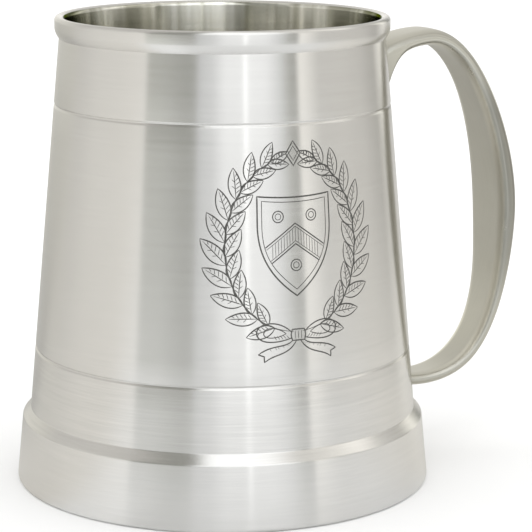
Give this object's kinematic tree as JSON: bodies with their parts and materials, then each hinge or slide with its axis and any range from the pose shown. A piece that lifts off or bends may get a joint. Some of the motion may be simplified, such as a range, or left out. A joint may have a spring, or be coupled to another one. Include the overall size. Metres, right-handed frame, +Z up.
{
  "type": "pewter tankard",
  "caption": "Lidless straight-tapered drinking tankard with a moulded rim, scribed lines, a skirted foot and a C-shaped strap handle.",
  "frame": {"origin": "on the mug's axis, in the plane that the foot rests on; the floor plate's flat underside is 0.8 mm above it", "axes": "+Z up along the mug's axis, +X out through the handle, -Y the front where the engraving is"},
  "size_m": [0.1333, 0.105, 0.117],
  "materials": {
    "pewter_drum": "satin pewter, turned, with fine circumferential brushing",
    "pewter_mouldings": "bright-turned pewter",
    "pewter_base": "satin pewter with concentric turning marks",
    "pewter_handle": "cast pewter, satin, brushed along its length",
    "solder": "soft solder, dressed and satin"
  },
  "bodies": {
    "root": {"body_wall": "pewter_drum", "rim_ring": "pewter_mouldings", "foot_ring": "pewter_mouldings", "base_plate": "pewter_base", "handle": "pewter_handle", "upper_handle_solder": "solder", "lower_handle_solder": "solder", "base_seam_solder": "solder"}
  },
  "joints": []
}
